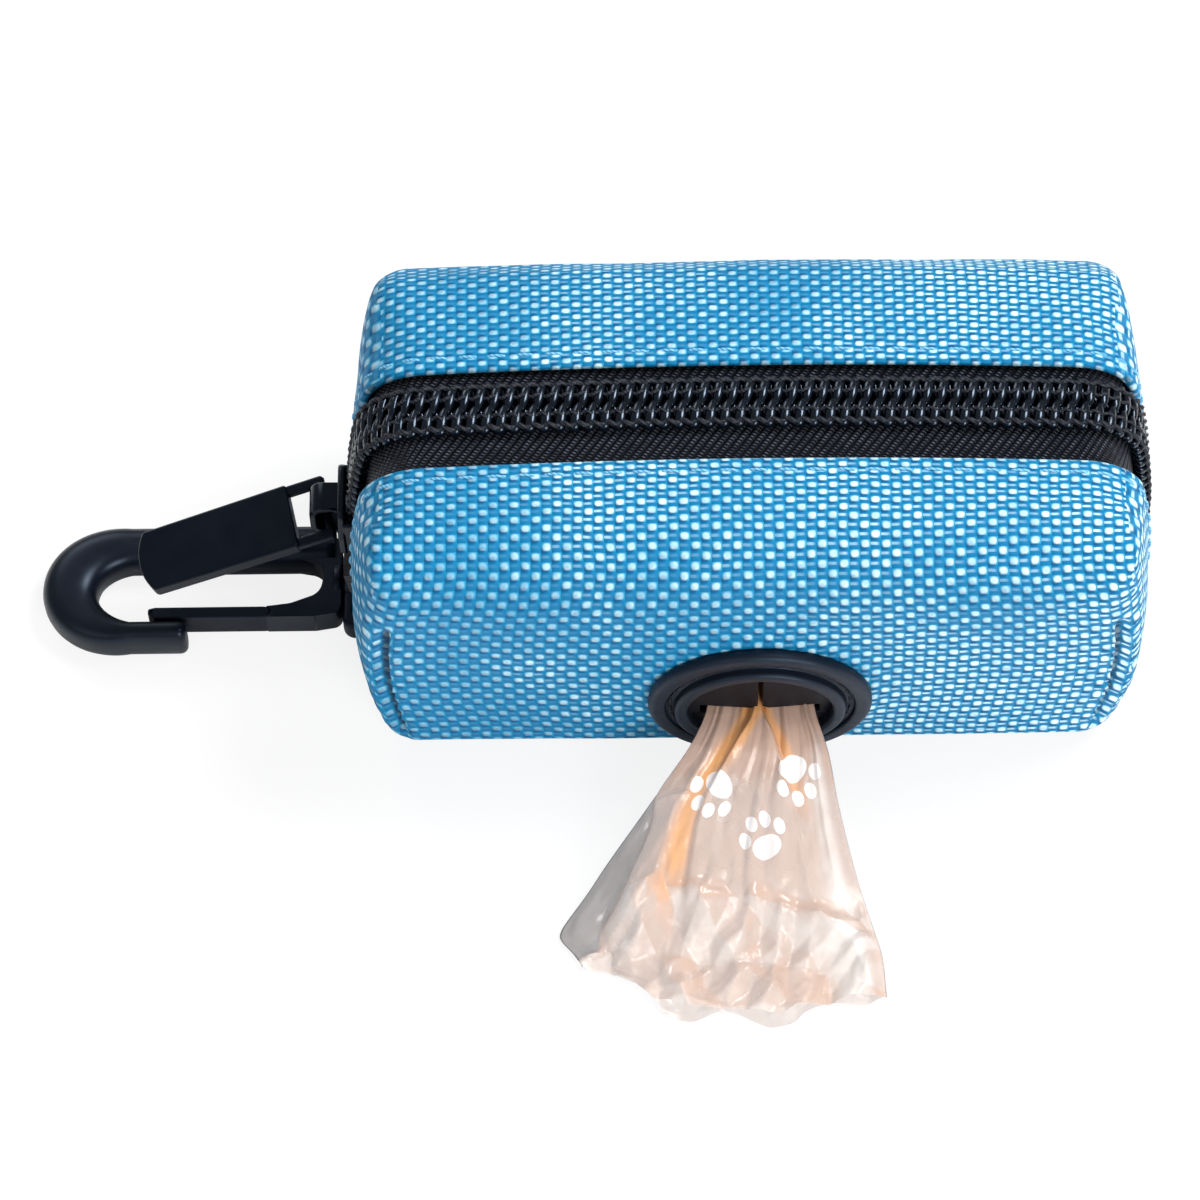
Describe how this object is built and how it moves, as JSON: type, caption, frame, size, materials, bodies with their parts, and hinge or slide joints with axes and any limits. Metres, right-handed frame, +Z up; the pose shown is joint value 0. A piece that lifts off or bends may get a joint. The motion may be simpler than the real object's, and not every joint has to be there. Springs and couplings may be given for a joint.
{
  "type": "dog waste bag dispenser",
  "caption": "Zipped woven pouch that holds a roll of dog waste bags, with a slit rubber grommet for the bags and a swivel snap hook.",
  "frame": {"origin": "centre of the pouch's flat base, which it stands on", "axes": "+Z up, +X along the pouch away from the hook, and the grommet faces -Y"},
  "size_m": [0.1246, 0.0755, 0.0449],
  "materials": {
    "cloth": "woven polyester with a slight sheen",
    "zip_tape": "knitted twill tape",
    "zip_coil": "glossy nylon monofilament",
    "thread_blue": "sewing thread",
    "thread_black": "sewing thread",
    "binding": "woven tape",
    "rubber": "satin",
    "webbing": "woven webbing",
    "slider": "semi-gloss paint",
    "pull_tab": "satin paint",
    "hook": "satin moulded acetal",
    "core": "matte",
    "bag_film": "thin translucent film"
  },
  "bodies": {
    "pouch": {"front_panel": "cloth", "rear_panel": "cloth", "zipper_tape_front": "zip_tape", "zipper_tape_rear": "zip_tape", "zipper_coil_front": "zip_coil", "zipper_coil_rear": "zip_coil", "topstitch_front": "thread_blue", "topstitch_rear": "thread_blue", "end_binding_left": "binding", "end_binding_right": "binding", "grommet": "rubber", "grommet_stitching": "thread_black", "webbing_loop": "webbing"},
    "slider": {"zip_slider": "slider"},
    "tab": {"pull_tab": "pull_tab"},
    "eye": {"swivel_eye": "hook"},
    "hook": {"hook_body": "hook"},
    "gate": {"hook_gate": "hook"},
    "roll": {"roll_core": "core", "bag_roll": "bag_film"},
    "bag": {"leading_bag": "bag_film"}
  },
  "joints": [
    {"name": "slider_travel", "type": "hinge", "parent": "pouch", "child": "slider", "pos_m": [0.0461, 0, 0.02], "axis": [0, 1, 0], "range_deg": [0, 7], "deforming": ["zipper_coil_front", "zipper_coil_rear"]},
    {"name": "tab_swing", "type": "hinge", "parent": "slider", "child": "tab", "pos_m": [-0.04688, 0, 0.02052], "axis": [-0.2079, 0.9781, 0], "range_deg": [-25, 95]},
    {"name": "eye_swing", "type": "hinge", "parent": "pouch", "child": "eye", "pos_m": [-0.04134, -0.0008, 0.0027], "axis": [0, 1, 0], "range_deg": [-80, 4]},
    {"name": "hook_swivel", "type": "hinge", "parent": "eye", "child": "hook", "pos_m": [-0.04604, -0.0008, 0.0027], "axis": [-1, 0, 0], "continuous": true},
    {"name": "gate_open", "type": "hinge", "parent": "hook", "child": "gate", "pos_m": [-0.05484, -0.00502, 0.0027], "axis": [0, 0, -1], "range_deg": [0, 19], "stiffness_Nm_per_rad": 0.06, "springref_deg": -6.88},
    {"name": "bag_pull", "type": "slide", "parent": "pouch", "child": "bag", "axis": [0, -1, 0], "range_m": [0, 0.06]},
    {"name": "roll_spin", "type": "hinge", "parent": "pouch", "child": "roll", "pos_m": [0, 0, 0.01595], "axis": [1, 0, 0], "continuous": true}
  ],
  "couplings": [
    {"joint": "roll_spin", "follows": "bag_pull", "rad_per_m": -68.966}
  ]
}
